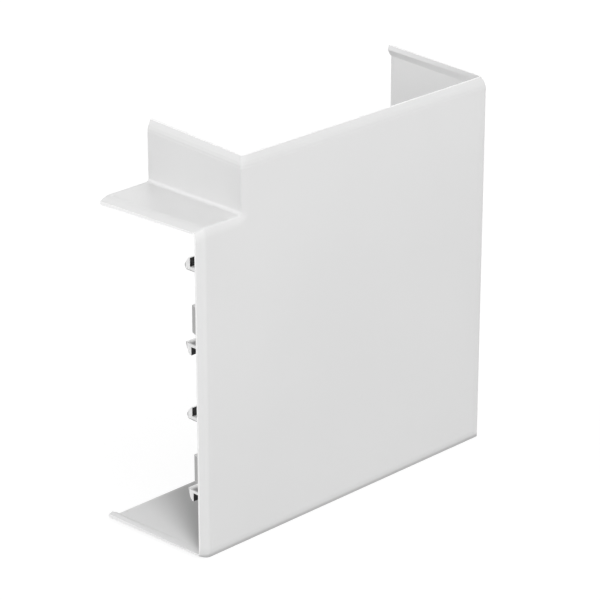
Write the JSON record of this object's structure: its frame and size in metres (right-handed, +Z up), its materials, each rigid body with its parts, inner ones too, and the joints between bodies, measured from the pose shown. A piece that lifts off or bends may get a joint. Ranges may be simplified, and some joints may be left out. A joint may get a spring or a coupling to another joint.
{
  "type": "trunking bend",
  "caption": "Flat right-angle bend cover for wall trunking: a moulded L-shaped shell, open at both ends and at the wall side, with stepped-in lips and snap claws.",
  "frame": {"origin": "centre of the bounding box at its foot, on the surface that the bottom wall stands on", "axes": "+Y from the front plate to the wall, -X out of the left mouth, +Z up and out of the top mouth"},
  "size_m": [0.175, 0.0562, 0.1751],
  "materials": {
    "white_plastic": "satin moulded"
  },
  "bodies": {
    "root": {"flat_bend_cover": "white_plastic"}
  },
  "joints": []
}
